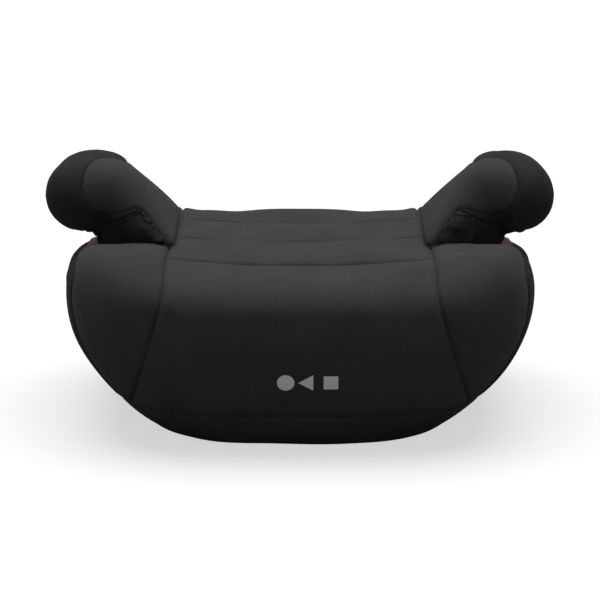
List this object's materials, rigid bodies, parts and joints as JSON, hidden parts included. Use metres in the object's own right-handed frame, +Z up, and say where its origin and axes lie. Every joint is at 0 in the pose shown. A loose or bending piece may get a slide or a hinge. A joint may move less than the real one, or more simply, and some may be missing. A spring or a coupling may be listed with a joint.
{
  "type": "booster seat",
  "caption": "Backless child booster seat: moulded shell on rubber feet, padded seat in black ribbed knit, two outward-leaning armrests with open lap-belt paths beneath them.",
  "frame": {"origin": "middle of the bounding box, on the floor plane that the four rubber feet stand on", "axes": "+X across the seat towards its right-hand armrest as seen from the front, +Y towards the back, +Z up; the child's legs come over the -Y edge"},
  "size_m": [0.432, 0.38, 0.2275],
  "materials": {
    "black_plastic": "fine moulded texture",
    "red_plastic": "smooth moulded",
    "foot_rubber": "matte",
    "zinc_steel": "zinc plated",
    "foam": "open-cell foam",
    "knit_black": "ribbed knit with foam backing",
    "lining": "thin woven lining",
    "elastic": "braided elastic",
    "white_print": "screen-printed ink"
  },
  "bodies": {
    "root": {"seat_shell": "black_plastic", "shell_ribs": "black_plastic", "armrest_core_left": "black_plastic", "armrest_core_right": "black_plastic", "armrest_screws": "zinc_steel", "belt_guide_left": "red_plastic", "belt_guide_right": "red_plastic", "rubber_feet": "foot_rubber", "seat_foam": "foam", "head_foam_left": "foam", "head_foam_right": "foam", "pillar_foam_left": "foam", "pillar_foam_right": "foam", "cover_seat_rear": "knit_black", "cover_seat_middle": "knit_black", "cover_seat_front": "knit_black", "cover_apron": "knit_black", "cover_back": "knit_black", "cover_wing_left": "knit_black", "cover_wing_right": "knit_black", "cover_side_left": "knit_black", "cover_side_right": "knit_black", "cover_hem_band": "knit_black", "cover_under_hem": "lining", "armrest_cover_inner_left": "knit_black", "armrest_cover_inner_right": "knit_black", "armrest_cover_outer_left": "knit_black", "armrest_cover_outer_right": "knit_black", "belt_gusset_left": "lining", "belt_gusset_right": "lining", "hem_elastic": "elastic", "hem_hooks": "black_plastic", "printed_mark": "white_print"}
  },
  "joints": []
}
